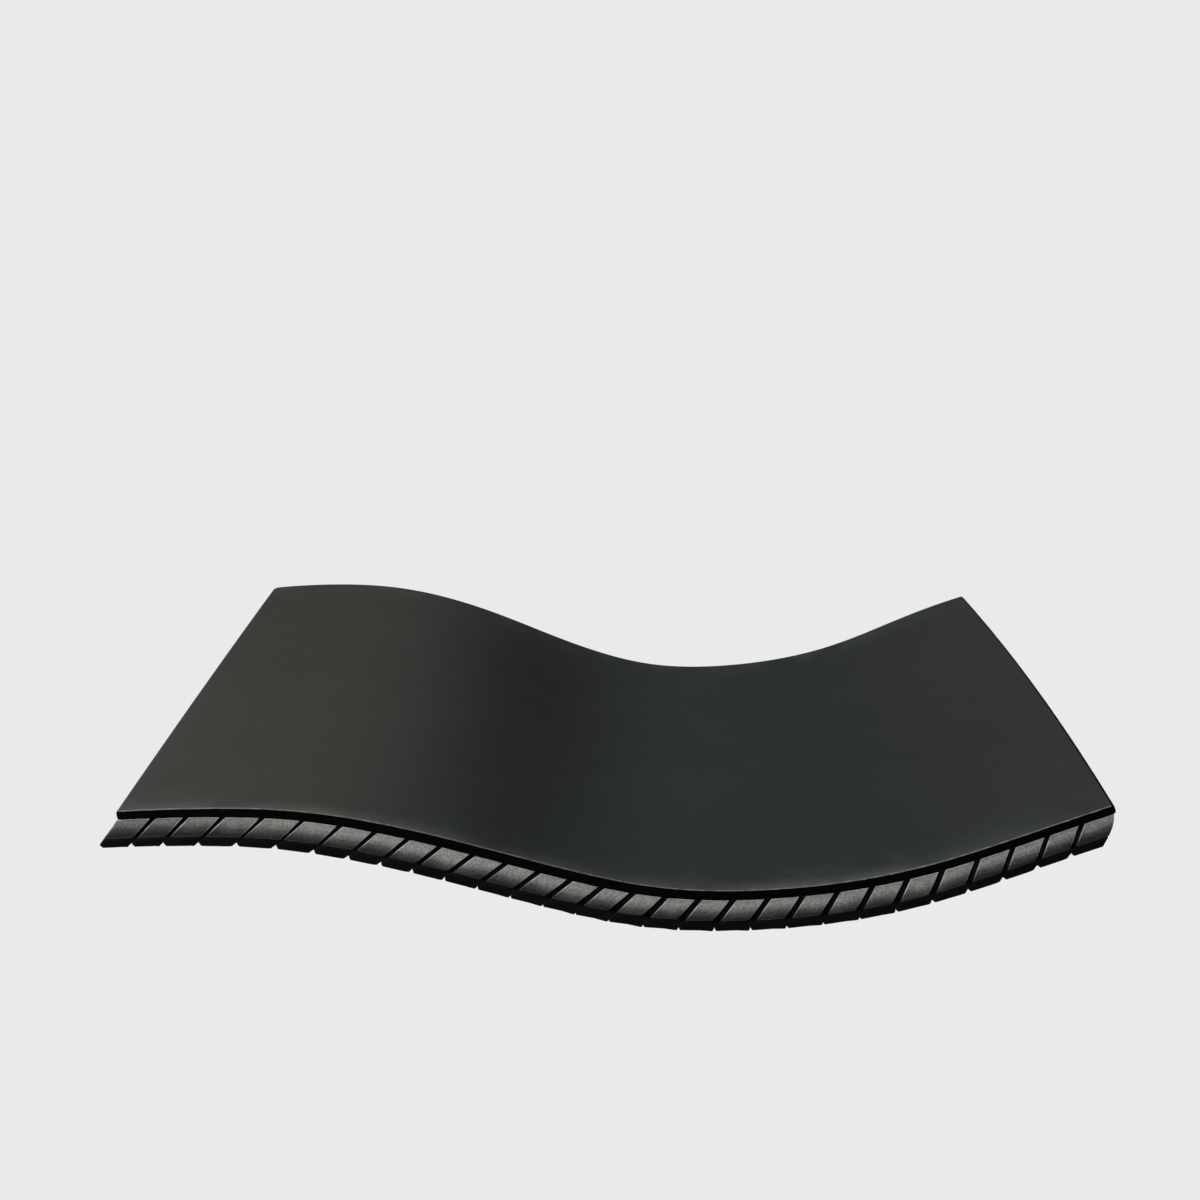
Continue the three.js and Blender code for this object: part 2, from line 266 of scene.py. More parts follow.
class Nodes:
    """Short calls for a material's node tree."""

    def __init__(self, name, base_color, roughness, specular=0.5):
        self.material = bpy.data.materials.new(name)
        self.material.use_nodes = True
        self.tree = self.material.node_tree
        self.shader = self.tree.nodes["Principled BSDF"]
        self.shader.inputs["Base Color"].default_value = (*base_color, 1)
        self.shader.inputs["Roughness"].default_value = roughness
        self.shader.inputs["Specular IOR Level"].default_value = specular
        place = self.tree.nodes.new("ShaderNodeAttribute")
        place.attribute_name = "flat"
        self.place = place.outputs["Vector"]

    def link(self, source, target):
        self.tree.links.new(source, target)

    def noise(self, size_mm, detail=2, roughness=0.5, stretch=(1, 1, 1)):
        """Noise with features of about size_mm, 0 to 1 with 0.5 in the middle."""
        mapping = self.tree.nodes.new("ShaderNodeMapping")
        mapping.inputs["Scale"].default_value = stretch
        self.link(self.place, mapping.inputs["Vector"])
        node = self.tree.nodes.new("ShaderNodeTexNoise")
        node.inputs["Scale"].default_value = 1000 / size_mm
        node.inputs["Detail"].default_value = detail
        node.inputs["Roughness"].default_value = roughness
        self.link(mapping.outputs["Vector"], node.inputs["Vector"])
        return node.outputs["Fac"]

    def spread(self, value, low, high, start=0.3, end=0.7):
        """Maps start..end of a value onto low..high."""
        node = self.tree.nodes.new("ShaderNodeMapRange")
        node.inputs["From Min"].default_value = start
        node.inputs["From Max"].default_value = end
        node.inputs["To Min"].default_value = low
        node.inputs["To Max"].default_value = high
        self.link(value, node.inputs["Value"])
        return node.outputs["Result"]

    def math(self, operation, a, b):
        node = self.tree.nodes.new("ShaderNodeMath")
        node.operation = operation
        for socket, value in zip(node.inputs, (a, b)):
            if isinstance(value, (int, float)):
                socket.default_value = value
            else:
                self.link(value, socket)
        return node.outputs["Value"]

    def mix(self, share, a, b):
        """Colour a at share 0 and b at share 1."""
        node = self.tree.nodes.new("ShaderNodeMix")
        node.data_type = "RGBA"
        self.link(share, node.inputs["Factor"])
        for socket, value in zip((node.inputs["A"], node.inputs["B"]), (a, b)):
            if isinstance(value, tuple):
                socket.default_value = (*value, 1)
            else:
                self.link(value, socket)
        return node.outputs["Result"]

    def axis(self, letter):
        """The place along X (the board), Y (across it) or Z (minus the layer depth), in metres."""
        split = self.tree.nodes.new("ShaderNodeSeparateXYZ")
        self.link(self.place, split.inputs["Vector"])
        return split.outputs[letter]

    def along(self, values):
        """Values of 0 to 1 at evenly spread places from the board's left end to its right end."""
        ramp = self.tree.nodes.new("ShaderNodeValToRGB")
        ramp.color_ramp.interpolation = "B_SPLINE"
        stops = ramp.color_ramp.elements
        while len(stops) < len(values):
            stops.new(0.5)
        for k, value in enumerate(values):
            stops[k].position = k / (len(values) - 1)
            stops[k].color = (value, value, value, 1)
        self.link(self.math("DIVIDE", self.axis("X"), BOARD_LENGTH / 1000), ramp.inputs["Fac"])
        return ramp.outputs["Color"]

    def bump(self, height, depth_mm, strength=1.0, under=None):
        node = self.tree.nodes.new("ShaderNodeBump")
        node.inputs["Strength"].default_value = strength
        node.inputs["Distance"].default_value = depth_mm / 1000
        self.link(height, node.inputs["Height"])
        if under is not None:
            self.link(under, node.inputs["Normal"])
        return node.outputs["Normal"]

    def finish(self, color=None, roughness=None, normal=None):
        for socket, value in (("Base Color", color), ("Roughness", roughness), ("Normal", normal)):
            if value is not None:
                self.link(value, self.shader.inputs[socket])
        return self.material


def scaled(color, factor):
    return tuple(c * factor for c in color)


def metres(length):
    return length / 1000


BLACK = (0, 0, 0)
SLAT_SHADE_BLACK = (0.004, 0.005, 0.005)      # painted shade on the lower part of a slat's end face
SLAT_SHADE_BLACK_SAND = (0.012, 0.013, 0.012)
WARM_DECK = (0.062, 0.066, 0.056)
# Pale scuffs and a painted highlight near the deck's front edge.
SCUFFED_HIGHLIT_DECK = (0.116, 0.119, 0.112)


def deck_material():
    """Smooth dark vinyl: cloudy, with painted light and shade as paler and darker zones along the
    board, rubbed pale along its long edges, and scuffs and a painted highlight along its front
    edge.
    """
    base = (0.049, 0.0605, 0.0537)
    nodes = Nodes("deck_top", base, 0.55, 0.15)
    clouds = nodes.noise(140, detail=3)
    grain = nodes.noise(0.9, detail=3, roughness=0.6)
    tinted = nodes.mix(nodes.along(DECK_WARMTH), base, WARM_DECK)
    # Painted light and shade: the tone along the board stands in for how the light falls on the
    # deck's slopes.
    painted_light_tone = nodes.mix(nodes.along(DECK_PAINTED_LIGHT), BLACK, tinted)
    cloudy = nodes.mix(nodes.spread(clouds, 0.1, 0), painted_light_tone, BLACK)
    color = nodes.mix(nodes.spread(grain, 0, 0.08), cloudy, scaled(base, 1.2))
    from_middle = nodes.math("ABSOLUTE", nodes.axis("Y"), 0)
    near_edge = nodes.spread(
        from_middle, 0, 1, metres(HALF_DEPTH - RUBBED_WIDTH), metres(HALF_DEPTH))
    patches = nodes.spread(nodes.noise(45, detail=2), 0, 1, 0.42, 0.62)
    rubbed = nodes.math("MULTIPLY", nodes.math("MULTIPLY", near_edge, patches), 0.45)
    color = nodes.mix(rubbed, color, scaled(base, 1.3))
    # Scuffs and a painted highlight along the front edge.
    near_front = nodes.spread(
        nodes.axis("Y"), 1, 0,
        -metres(HALF_DEPTH - DECK_TOP_ROLL), -metres(HALF_DEPTH - SCUFF_AND_HIGHLIGHT_WIDTH))
    scuff_and_highlight_patches = nodes.spread(nodes.noise(60, detail=2), 0.3, 0.9, 0.42, 0.58)
    scuffs_and_highlight = nodes.math("MULTIPLY", nodes.math("MULTIPLY", near_front, near_front), scuff_and_highlight_patches)
    scuffs_and_highlight = nodes.math("MULTIPLY", scuffs_and_highlight, nodes.along(FRONT_SCUFFS_AND_HIGHLIGHT))
    color = nodes.mix(scuffs_and_highlight, color, SCUFFED_HIGHLIT_DECK)
    roughness = nodes.spread(nodes.noise(30, detail=4), 0.5, 0.6)
    pebble = nodes.bump(grain, 0.04, 0.4)
    return nodes.finish(color, roughness, pebble)


def deck_rim_highlight_material():
    """A painted highlight line along the deck's front edge."""
    base = (0.15, 0.154, 0.144)
    nodes = Nodes("deck_rim_highlight", base, 0.5, 0.3)
    # Noise makes the painted highlight patchy.
    rubbed = nodes.noise(7, detail=4)
    color = nodes.mix(nodes.spread(rubbed, 0, 1, 0.35, 0.65), scaled(base, 0.55), scaled(base, 1.4))
    return nodes.finish(color, None, nodes.bump(nodes.noise(1.0), 0.05, 0.4))


def deck_edge_material():
    """The deck's black sides, ends and underside."""
    base = (0.0009, 0.0009, 0.0009)
    nodes = Nodes("deck_edge", base, 0.75, 0.03)
    grain = nodes.noise(0.8, detail=3)
    color = nodes.mix(nodes.spread(grain, 0, 1), scaled(base, 0.5), scaled(base, 2.5))
    return nodes.finish(color, None, nodes.bump(grain, 0.05, 0.5))


def slat_face_material():
    """Sand texture, with painted shade: light near the top, darker and smoother towards the rubber,
    and dimmer at some places along the board.
    """
    base = (0.285, 0.298, 0.276)
    nodes = Nodes("slat_face", base, 0.85, 0.2)
    sand = nodes.noise(1.4, detail=2, roughness=0.7)
    patches = nodes.noise(22, detail=3)
    # Painted shade: the face darkens and then turns black with depth, sooner towards the board's
    # ends, and is dimmed by place.
    wander = nodes.math("MULTIPLY", nodes.math("SUBTRACT", patches, 0.5), metres(FACE_WANDER))
    early = nodes.math("MULTIPLY", nodes.along(FACE_SHADES), metres(EARLY_SHADE))
    depth = nodes.math("ADD", nodes.math("SUBTRACT", wander, nodes.axis("Z")), early)
    upper = nodes.spread(depth, 1, 0.36, *map(metres, FACE_DARKENS))
    lower = nodes.spread(depth, 1, 0.08, *map(metres, FACE_BLACKENS))
    shade = nodes.math("MULTIPLY", nodes.math("MULTIPLY", upper, lower), nodes.along(FACE_PAINTED_LIGHT))
    sanded = nodes.mix(nodes.spread(sand, 0, 1, 0.35, 0.65), scaled(base, 0.68), scaled(base, 1.36))
    dark = nodes.mix(nodes.spread(sand, 0, 1), SLAT_SHADE_BLACK, SLAT_SHADE_BLACK_SAND)
    color = nodes.mix(shade, dark, sanded)
    roughness = nodes.spread(sand, 0.75, 0.92)
    return nodes.finish(color, roughness, nodes.bump(sand, 0.2, 0.6))


def slat_edge_highlight_material():
    """The pale line round a slat's end face: a painted highlight with wear, turned black lower down
    by painted shade.
    """
    base = (0.48, 0.49, 0.46)
    nodes = Nodes("slat_edge_highlight", base, 0.6, 0.3)
    wear_and_glint = nodes.noise(6, detail=3)
    start, end = EDGE_BLACKENS
    # Painted shade turns the painted highlight line black lower down.
    shade = nodes.spread(nodes.axis("Z"), 0.04, 1, -metres(end), -metres(start))
    worn_and_glint = nodes.mix(nodes.spread(wear_and_glint, 0, 1), scaled(base, 0.6), scaled(base, 1.15))
    color = nodes.mix(shade, SLAT_SHADE_BLACK, worn_and_glint)
    return nodes.finish(color, None, nodes.bump(nodes.noise(1.0), 0.08, 0.5))


def slat_side_material():
    """The slats' dark, rough sides, top and underside."""
    base = (0.0045, 0.0050, 0.0050)
    nodes = Nodes("slat_side", base, 0.8, 0.12)
    grain = nodes.noise(1.2, detail=3)
    color = nodes.mix(nodes.spread(grain, 0, 1), scaled(base, 0.7), scaled(base, 1.5))
    return nodes.finish(color, None, nodes.bump(grain, 0.15, 0.6))


def tread_material():
    """Black rubber with a fine grain, and duller and shinier patches."""
    base = (0.0022, 0.0034, 0.0034)
    nodes = Nodes("tread_rubber", base, 0.7, 0.12)
    grain = nodes.noise(1.0, detail=3, roughness=0.6)
    patches = nodes.noise(40, detail=2)
    shade = nodes.math("ADD", nodes.spread(grain, 0, 0.5), nodes.spread(patches, 0, 0.5))
    color = nodes.mix(shade, scaled(base, 0.7), scaled(base, 1.5))
    roughness = nodes.spread(patches, 0.58, 0.72)
    return nodes.finish(color, roughness, nodes.bump(grain, 0.12, 0.6))


def core_material():
    """Soft metal sheet, brushed along the board's depth."""
    base = (0.45, 0.46, 0.47)
    nodes = Nodes("core_metal", base, 0.4)
    nodes.shader.inputs["Metallic"].default_value = 0.9
    brushed = nodes.noise(2, detail=2, stretch=(1, 0.02, 1))
    color = nodes.mix(nodes.spread(brushed, 0, 1), scaled(base, 0.85), scaled(base, 1.1))
    return nodes.finish(color, nodes.spread(brushed, 0.34, 0.48), nodes.bump(brushed, 0.02, 0.4))


DECK_TOP = deck_material()
DECK_RIM_HIGHLIGHT = deck_rim_highlight_material()
DECK_EDGE = deck_edge_material()
SLAT_FACE = slat_face_material()
SLAT_EDGE_HIGHLIGHT = slat_edge_highlight_material()
SLAT_SIDE = slat_side_material()
TREAD_RUBBER = tread_material()
CORE_METAL = core_material()


# ---- meshes ----

def make_piece(name, points, flat, faces, materials, face_materials, normals=None, sharp_deg=40):
    """A mesh object from points in metres, each with its place on the flat board."""
    mesh = bpy.data.meshes.new(name)
    mesh.from_pydata([tuple(p) for p in points], [], faces)
    attribute = mesh.attributes.new("flat", "FLOAT_VECTOR", "POINT")
    attribute.data.foreach_set("vector", np.asarray(flat, np.float32).ravel())
    for material in materials:
        mesh.materials.append(material)
    mesh.polygons.foreach_set("material_index", face_materials)
    mesh.polygons.foreach_set("use_smooth", [True] * len(faces))
    if normals is None:
        mesh.set_sharp_from_angle(angle=math.radians(sharp_deg))
    else:
        mesh.normals_split_custom_set_from_vertices([tuple(v) for v in normals])
    mesh.update()
    piece = bpy.data.objects.new(name, mesh)
    scene.collection.objects.link(piece)
    return piece


def ring_faces(rings, count):
    """Quads between neighbouring rings of count points each."""
    faces = []
    for r in range(rings - 1):
        for i in range(count):
            a, b = r * count + i, r * count + (i + 1) % count
            faces.append((a, b, b + count, a + count))
    return faces


def vertex_normals(points, faces):
    """Area-weighted unit normals of a mesh of quads."""
    corners = points[np.array(faces)]
    across = np.cross(corners[:, 2] - corners[:, 0], corners[:, 3] - corners[:, 1])
    total = np.zeros_like(points)
    for k in range(4):
        np.add.at(total, np.array(faces)[:, k], across)
    return total / np.linalg.norm(total, axis=1, keepdims=True)


# ---- deck ----

def rounding(distance, radius):
    """How far a rounded edge or corner falls back at a distance in from it."""
    inner = np.clip(radius - distance, 0, radius)
    return radius - np.sqrt(radius**2 - inner**2)


def deck_rows():
    """y of the deck's rows: close together at the rounded edges and corners."""
    edge = [0, 0.08, 0.3, DECK_TOP_ROLL, 1.1]
    front = [-HALF_DEPTH + d for d in edge + [CORNER_RADIUS, 8]]
    rear = [HALF_DEPTH - d for d in edge + [CORNER_RADIUS, 3, REAR_LEFT_RADIUS]]
    middle = list(np.linspace(-HALF_DEPTH, HALF_DEPTH, 11)[1:-1])
    return np.array(sorted(front + middle + rear))


def deck_ends(y):
    """Where the deck's end edges are at y, bowed and with rounded corners."""
    bow = 1 - (y / HALF_DEPTH) ** 2
    front_cut = rounding(HALF_DEPTH + y, CORNER_RADIUS)
    left_cut = rounding(HALF_DEPTH - y, REAR_LEFT_RADIUS)
    right_cut = rounding(HALF_DEPTH - y, CORNER_RADIUS)
    left = -LEFT_EDGE_REACH - LEFT_EDGE_BOW * bow + front_cut + left_cut
    right = BOARD_LENGTH + RIGHT_EDGE_BOW * bow - front_cut - right_cut
    return left, right


def deck_columns():
    """Rows of s for each column, and where each strip's columns start and end."""
    y = deck_rows()
    left, right = deck_ends(y)
    columns = [left + d for d in NOSE_COLUMNS]
    bounds = [0]
    for k in range(SLAT_COUNT - 1):
        final = k == SLAT_COUNT - 2
        start = columns[-1]
        goal = right - NOSE_COLUMNS[-1] if final else np.full_like(y, MIDDLES[k + 1])
        steps = STRIP_COLUMNS * 2 if k == 0 or final else STRIP_COLUMNS
        columns += [start + (goal - start) * j / steps for j in range(1, steps + 1)]
        if final:
            columns += [right - d for d in reversed(NOSE_COLUMNS[:-1])]
        bounds.append(len(columns) - 1)
    return y, left, right, columns, bounds


def deck_rings():
    """All rings of the deck as flat places (s, y, n): bottom front to rear, top rear to front."""
    y, left, right, columns, bounds = deck_columns()
    from_side = np.minimum(y + HALF_DEPTH, HALF_DEPTH - y)
    rings = []
    for s in columns:
        from_end = np.minimum(s - left, right - s)
        nose = rounding(from_end, NOSE_ROLL)
        top = np.maximum(rounding(from_side, DECK_TOP_ROLL), nose)
        under = np.maximum(rounding(from_side, DECK_BOTTOM_ROLL), nose * NOSE_ROLL_BELOW)
        bottom = DECK_THICKNESS - under
        low = np.stack([s, y, bottom], -1)
        high = np.stack([s, y, top], -1)[::-1]
        rings.append(np.concatenate([low, high]))
    return np.array(rings), bounds


def flat_to_metres(flat):
    """A place (s, y, n) in mm as an attribute in metres, with depth counted down."""
    return flat * np.array([0.001, 0.001, -0.001])


def blend_strip(piece, k):
    """Works out the gap between links k and k + 1, and bakes the strip's placement into its points.
    """
    depth = (CORE_TOP + CORE_BOTTOM) / 2
    front, rear = board_point(ENDS[k - 1], 0, depth, np.array([-HALF_DEPTH, HALF_DEPTH]))
    left, right = board_point(MIDDLES[k - 1:k + 1], 0, depth, 0)
    ruling = (rear - front) / np.linalg.norm(rear - front)
    run = right - left
    run = run - (run @ ruling) * ruling
    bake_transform(piece)


def strip_caps(rings, count):
    """The two end walls of a strip, as quads between its bottom and top rows."""
    last = (rings - 1) * count
    faces = []
    for i in range(count // 2 - 1):
        j = count - 1 - i
        faces.append((i, j, j - 1, i + 1))
        faces.append((last + i, last + i + 1, last + j - 1, last + j))
    return faces


def build_strips(label, node, rings, bounds, materials, material_of):
    """Cuts a sheet's rings into strips, each a closed solid, with the sheet's normals."""
    count = rings.shape[1]
    points = board_point(rings[..., 0], 0, rings[..., 2], rings[..., 1])
    sheet_faces = ring_faces(len(rings), count)
    normals = vertex_normals(points.reshape(-1, 3), sheet_faces).reshape(points.shape)
    for k in range(1, len(bounds)):
        part = slice(bounds[k - 1], bounds[k] + 1)
        flat = rings[part].reshape(-1, 3)
        faces = ring_faces(part.stop - part.start, count)
        kinds = [material_of(flat[list(face)]) for face in faces]
        caps = strip_caps(part.stop - part.start, count)
        piece = make_piece(
            f"{label}_{k:02d}", points[part].reshape(-1, 3), flat_to_metres(flat), faces + caps,
            materials, kinds + [len(materials) - 1] * len(caps), normals[part].reshape(-1, 3))
        blend_strip(piece, k)
        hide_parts(node)


def deck_face_kind(corners):
    """0 for the standing surface, 1 for its front rim with a painted highlight, 2 for black sides
    and underside.
    """
    s, y, depth = corners.mean(0)
    left, right = deck_ends(y)
    from_end = min(s - left, right - s)
    from_side = HALF_DEPTH - np.abs(corners[:, 1]).min()
    if depth > SIDE_DEPTH or from_end < END_EDGE_WIDTH:
        return 2
    if from_side < HIGHLIGHT_RIM_WIDTH:
        return 1 if y < 0 else 2
    return 0


def build_deck():
    rings, bounds = deck_rings()
    materials = [DECK_TOP, DECK_RIM_HIGHLIGHT, DECK_EDGE]
    build_strips("deck_strip", "deck_sheet", rings, bounds, materials, deck_face_kind)


def build_core():
    """The core's strips, with a plain section."""
    y = np.linspace(-CORE_HALF_DEPTH, CORE_HALF_DEPTH, CORE_ROWS)
    rings = []
    bounds = [0]
    for k in range(SLAT_COUNT - 1):
        start = CORE_END_INSET if k == 0 else MIDDLES[k]
        goal = BOARD_LENGTH - CORE_END_INSET if k == SLAT_COUNT - 2 else MIDDLES[k + 1]
        for j in range(0 if k == 0 else 1, CORE_COLUMNS + 1):
            s = np.full_like(y, start + (goal - start) * j / CORE_COLUMNS)
            low = np.stack([s, y, np.full_like(y, CORE_BOTTOM)], -1)
            high = np.stack([s, y, np.full_like(y, CORE_TOP)], -1)[::-1]
            rings.append(np.concatenate([low, high]))
        bounds.append(len(rings) - 1)
    rings = np.array(rings)
    build_strips("core_strip", "bending_core", rings, bounds, [CORE_METAL], lambda _: 0)


# ---- slats ----

def bevel_steps(size):
    """The rounding round an end face in three steps, as (inset, distance behind the face)."""
    turns = np.radians([0, 45, 90])
    return [(size * (1 - math.sin(a)), size * (1 - math.cos(a))) for a in turns]


def face_reach(n):
    """How far a slat's end face has leaned out at layer depth n."""
    down = np.clip(np.asarray(n, float), SLAT_TOP, SLAT_BOTTOM) - SLAT_TOP
    return down * math.tan(math.radians(SLAT_FACE_SLOPE))


def slat_ring(i, inset, top, lips):
    """A slat's section as (t, n): down its left side, up its right side, back over the top.

    top is the depth of the middle of its top side, and lips those beside its two upper corners.
    """
    slant = math.cos(math.radians(smooth_value(GAP_SLANTS, MIDDLES[i])))
    levels = np.linspace(top + inset, SLAT_BOTTOM - inset, FACE_LEVELS)
    left, right = slat_sides(i, levels)
    left = left + inset / slant
    right = right - inset / slant
    if i == SLAT_COUNT - 1:
        down = (levels - SLAT_TOP) / (SLAT_BOTTOM - SLAT_TOP)
        right = right + RIGHT_END_BULGE * np.sin(math.pi * down)
    ring = list(zip(left, levels)) + list(zip(right[::-1], levels[::-1]))
    left_lip, right_lip = lips
    ring += [
        (right[0] - END_LIP, right_lip + inset), (right[0] - END_LIP - 1, top + inset),
        (left[0] + END_LIP + 1, top + inset), (left[0] + END_LIP, left_lip + inset),
    ]
    ring[0] = (ring[0][0], left_lip + inset)
    ring[2 * FACE_LEVELS - 1] = (ring[2 * FACE_LEVELS - 1][0], right_lip + inset)
    return np.array(ring)


def slat_rings(i):
    """All rings of slat i, as (t, n, y) from its middle."""
    end = []
    for inset, behind in bevel_steps(SLAT_EDGE):
        ring = slat_ring(i, inset, SLAT_TOP, (SLAT_TOP, SLAT_TOP))
        end.append((ring, HALF_DEPTH - SLAT_TOP_INSET + face_reach(ring[:, 1]) - behind))
    channel_lips = (
        SLAT_TOP if i == 0 else CHANNEL_FLOOR,
        SLAT_TOP if i == SLAT_COUNT - 1 else CHANNEL_FLOOR,
    )
    solid = slat_ring(i, 0, SLAT_TOP, (SLAT_TOP, SLAT_TOP))
    hollow = slat_ring(i, 0, CHANNEL_FLOOR, channel_lips)
    foot = CHANNEL_HALF_DEPTH - CHANNEL_WALL_RUN
    stations = [(-CHANNEL_HALF_DEPTH, solid)]
    stations += [(y, hollow) for y in np.linspace(-foot, foot, ACROSS_STATIONS)]
    stations += [(CHANNEL_HALF_DEPTH, solid)]
    return rings_across(end, stations)


def rings_across(end, stations):
    """Rings (t, n, y) from the front end's rounding, over the stations, to the rear end's.

    end holds (ring, reach) pairs from the end face inward, and stations holds (y, ring) pairs.
    """
    rings = [np.column_stack([ring, -reach]) for ring, reach in end]
    rings += [np.column_stack([ring, np.full(len(ring), y)]) for y, ring in stations]
    rings += [np.column_stack([ring, reach]) for ring, reach in reversed(end)]
    return rings


def place_on_board(i, rings):
    """Points in metres of rings (t, n, y) from slat i's middle, and their flat places."""
    t, n, y = np.concatenate(rings).T
    points = board_point(MIDDLES[i], t, n, y)
    return points, flat_to_metres(np.column_stack([MIDDLES[i] + t, y, n]))


def end_face(levels, count, first):
    """Faces over a slat's end, for the ring that starts at vertex first."""
    opposite = 2 * levels - 1
    faces = [(j, opposite - j, opposite - 1 - j, j + 1) for j in range(1, levels - 1)]
    faces.append((0, *range(count - 1, opposite, -1), opposite, opposite - 1, 1))
    return [tuple(first + v for v in face) for face in faces]


def build_slat(i):
    number = i + 1
    rings = slat_rings(i)
    count = len(rings[0])
    last = (len(rings) - 1) * count
    points, places = place_on_board(i, rings)
    sides = ring_faces(len(rings), count)
    bevel = count * 2            # faces between the three rings of an end's rounding
    front = end_face(FACE_LEVELS, count, 0)
    rear = [face[::-1] for face in end_face(FACE_LEVELS, count, last)]
    faces = [face[::-1] for face in sides] + front + rear
    kinds = [1] * bevel + [2] * (len(sides) - 2 * bevel) + [1] * bevel
    kinds += [0] * (len(front) + len(rear))
    materials = [SLAT_FACE, SLAT_EDGE_HIGHLIGHT, SLAT_SIDE]
    piece = make_piece(f"slat_block_{number:02d}", points, places, faces, materials, kinds)
    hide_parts(f"slat_{number:02d}")
    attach(piece, f"link_{number:02d}")


# ---- treads ----

SHOULDER = TREAD_TOP + TREAD_SHOULDER * (TREAD_BOTTOM - TREAD_TOP)   # where the chamfer starts


def round_corners(corners, radii, inset):
    """A polygon's corners rounded with three points each, after moving its sides in by inset."""
    count = len(corners)
    moved = []
    for k in range(count):
        before, here, after = corners[k - 1], corners[k], corners[(k + 1) % count]
        a = (here - before) / np.linalg.norm(here - before)
        b = (after - here) / np.linalg.norm(after - here)
        turn = a[0] * b[1] - a[1] * b[0]
        shift = inset * (b - a) / turn
        moved.append(here + shift)
    rounded = []
    for k in range(count):
        before, here, after = moved[k - 1], moved[k], moved[(k + 1) % count]
        a = (before - here) / np.linalg.norm(before - here)
        b = (after - here) / np.linalg.norm(after - here)
        half = math.acos(np.clip(a @ b, -1, 1)) / 2
        radius = max(radii[k] - inset, LEAST_RADIUS)
        reach = radius / math.tan(half)
        centre = here + (a + b) / np.linalg.norm(a + b) * radius / math.sin(half)
        middle = centre + (here - centre) / np.linalg.norm(here - centre) * radius
        rounded += [here + a * reach, middle, here + b * reach]
    return np.array(rounded)


def cap_faces(count, last):
    """The end faces of a piece whose rings have count points, the last ring from vertex last."""
    return [tuple(range(count))[::-1], tuple(range(last, last + count))]


def tread_left(i, n):
    """The left side of tread i at layer depth n: the slat's slant, then the corner's chamfer."""
    turn = slat_sides(i, SHOULDER)[0]
    down = (n - SHOULDER) / (TREAD_BOTTOM - SHOULDER)
    return slat_sides(i, n)[0] if n < SHOULDER else turn + down * TREAD_CHAMFER


def tread_ring(i, inset):
    """A tread's section as (t, n), with rounded lower corners."""
    top_left, top_right = slat_sides(i, TREAD_TOP)
    foot_left = tread_left(i, TREAD_BOTTOM)
    foot_right = slat_sides(i, TREAD_BOTTOM)[1]
    corners = np.array([
        (top_left, TREAD_TOP), (top_right, TREAD_TOP), (foot_right, TREAD_BOTTOM),
        (foot_left, TREAD_BOTTOM), (tread_left(i, SHOULDER), SHOULDER),
    ])
    return round_corners(corners, TREAD_RADII, inset)


def tread_reach(n):
    """y of a tread's end faces at depth n."""
    down = (n - TREAD_TOP) / (TREAD_BOTTOM - TREAD_TOP)
    shoulder_y = HALF_DEPTH - SLAT_TOP_INSET + face_reach(SLAT_BOTTOM)
    return shoulder_y - down * TREAD_EDGE_TUCK


def build_tread(i):
    number = i + 1
    end = []
    for inset, behind in bevel_steps(TREAD_EDGE):
        ring = tread_ring(i, inset)
        end.append((ring, tread_reach(ring[:, 1]) - behind))
    plain = tread_ring(i, 0)
    count = len(plain)
    stations = np.linspace(-CORE_HALF_DEPTH, CORE_HALF_DEPTH, ACROSS_STATIONS)
    rings = rings_across(end, [(y, plain) for y in stations])
    points, places = place_on_board(i, rings)
    faces = ring_faces(len(rings), count) + cap_faces(count, (len(rings) - 1) * count)
    piece = make_piece(
        f"tread_strip_{number:02d}", points, places, faces, [TREAD_RUBBER], [0] * len(faces),
        sharp_deg=50)
    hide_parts(f"tread_{number:02d}")
    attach(piece, f"link_{number:02d}")


# ---- dark webs in the gaps between the treads, standing in for the shade there ----

def web_section(i):
    """Corners of the web right of tread i, as (slat, t, n).

    They go down that tread, round the groove's lip, up the groove and up the next tread.
    """
    openness = smooth_value(NOTCH_SHARES, ENDS[i])
    low = TREAD_BOTTOM - WEB_FOOT_RISE
    apex = TREAD_BOTTOM - openness * NOTCH_HEIGHT
    groove = tread_left(i + 1, TREAD_BOTTOM) - WEB_CLEARANCE - openness * NOTCH_WIDTH
    corners = [(i, slat_sides(i, n)[1] + WEB_CLEARANCE, n) for n in (TREAD_TOP, SHOULDER, low)]
    corners += [(i + 1, groove - run, low - rise) for run, rise in WEB_LIP]
    rising = [apex, SHOULDER, TREAD_TOP] if apex > SHOULDER else [apex, TREAD_TOP]
    corners += [(i + 1, tread_left(i + 1, n) - WEB_CLEARANCE, n) for n in rising]
    return corners


def blend_web(piece, i):
    """Works out the direction across the gap between slats i and i + 1, square to the treads'
    sides, and bakes the web's placement into its points.
    """
    middle = (TREAD_TOP + TREAD_BOTTOM) / 2
    edges = np.array([-HALF_DEPTH, HALF_DEPTH])
    left = board_point(MIDDLES[i], slat_sides(i, middle)[1], middle, edges)
    right = board_point(MIDDLES[i + 1], slat_sides(i + 1, middle)[0], middle, 0)
    wall = left.mean(0) - board_point(MIDDLES[i], slat_sides(i, SLAT_BOTTOM)[1], SLAT_BOTTOM, 0)
    across = np.cross(wall, left[1] - left[0])
    across = across / np.linalg.norm(across)
    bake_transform(piece)


